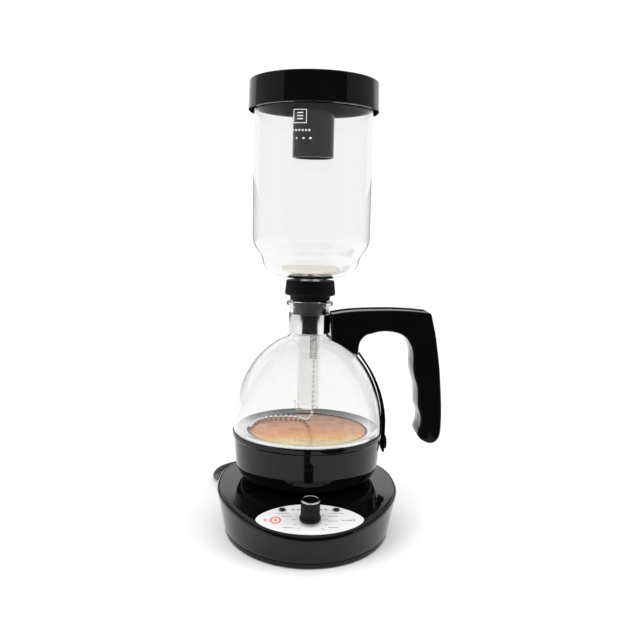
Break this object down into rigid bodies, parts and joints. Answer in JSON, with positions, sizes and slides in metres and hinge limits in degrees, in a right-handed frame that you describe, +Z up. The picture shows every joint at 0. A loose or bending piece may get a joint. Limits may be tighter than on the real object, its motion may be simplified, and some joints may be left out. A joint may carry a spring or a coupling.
{
  "type": "electric siphon coffee maker",
  "caption": "Vacuum coffee maker: glass globe with handle on an electric heating base, glass brewing chamber and lid standing in its neck.",
  "frame": {"origin": "centre of the rest face under the base, on the carafe's turning axis, at the level of the feet", "axes": "+Z up along the carafe axis, -Y towards the heat knob, +X towards the carafe's handle at rest"},
  "size_m": [0.2151, 0.303, 0.391],
  "materials": {
    "gloss_black_plastic": "gloss",
    "satin_black_plastic": "satin",
    "black_rubber": "matt",
    "cord_pvc": "satin",
    "clear_glass": "clear, polished",
    "polished_steel": "polished",
    "browned_steel": "stained with coffee",
    "brass": "plain",
    "filter_cloth": "woven",
    "label_silver": "printed",
    "lamp_lens": "gloss",
    "white_ceramic": "matt",
    "wire_blue": "satin",
    "wire_brown": "satin"
  },
  "bodies": {
    "base": {"base_housing": "gloss_black_plastic", "base_bottom_cover": "satin_black_plastic", "base_foot_1": "black_rubber", "base_foot_2": "black_rubber", "base_foot_3": "black_rubber", "base_foot_4": "black_rubber", "cover_screw_1": "polished_steel", "cover_screw_2": "polished_steel", "cover_screw_3": "polished_steel", "coupler_socket": "satin_black_plastic", "energy_regulator": "white_ceramic", "regulator_nut": "brass", "label_plate": "label_silver", "heat_lamp": "lamp_lens", "power_lamp": "lamp_lens", "terminal_block": "satin_black_plastic", "live_lead": "wire_brown", "load_lead": "wire_brown", "neutral_lead": "wire_blue", "supply_lead": "cord_pvc", "cord_gland": "black_rubber", "mains_cord": "cord_pvc", "mains_cord_coil": "cord_pvc", "mains_cord_tail": "cord_pvc", "mains_plug": "cord_pvc", "plug_pin_1": "brass", "plug_pin_2": "brass"},
    "knob": {"regulator_shaft": "brass", "heat_knob": "satin_black_plastic", "knob_cap": "gloss_black_plastic"},
    "turntable": {"swivel_ring": "satin_black_plastic"},
    "carafe": {"heater_pot": "gloss_black_plastic", "coupler_plug": "satin_black_plastic", "heater_plate": "browned_steel", "seal_clamp_ring": "polished_steel", "heating_element": "polished_steel", "thermal_cutout": "white_ceramic", "globe_glass": "clear_glass", "neck_collar": "polished_steel", "handle_front_half": "gloss_black_plastic", "handle_rear_half": "gloss_black_plastic", "handle_screw_1": "polished_steel", "handle_screw_2": "polished_steel", "handle_screw_3": "polished_steel", "globe_strap": "gloss_black_plastic", "strap_spacer": "satin_black_plastic", "strap_screw": "satin_black_plastic"},
    "chamber": {"chamber_glass": "clear_glass", "rubber_stopper": "black_rubber", "filter_disc": "polished_steel", "filter_cloth": "filter_cloth", "filter_hub": "polished_steel", "filter_rod": "polished_steel", "filter_spring": "polished_steel", "bead_chain": "polished_steel", "chain_tail": "polished_steel", "chain_hook": "polished_steel"},
    "lid": {"lid_cap": "gloss_black_plastic", "lid_stem": "gloss_black_plastic"}
  },
  "joints": [
    {"name": "knob_turn", "type": "hinge", "parent": "base", "child": "knob", "pos_m": [0, -0.094, 0.03394], "axis": [0, -0.0872, 0.9962], "range_deg": [-270, 0]},
    {"name": "carafe_turn", "type": "hinge", "parent": "base", "child": "turntable", "pos_m": [0, 0, 0.0396], "axis": [0, 0, 1], "continuous": true},
    {"name": "carafe_lift", "type": "slide", "parent": "turntable", "child": "carafe", "axis": [0, 0, 1], "range_m": [0, 0.06]},
    {"name": "chamber_lift", "type": "slide", "parent": "carafe", "child": "chamber", "axis": [0, 0, 1], "range_m": [0, 0.13], "deforming": ["chain_tail"]},
    {"name": "lid_lift", "type": "slide", "parent": "chamber", "child": "lid", "axis": [0, 0, 1], "range_m": [0, 0.09]}
  ]
}
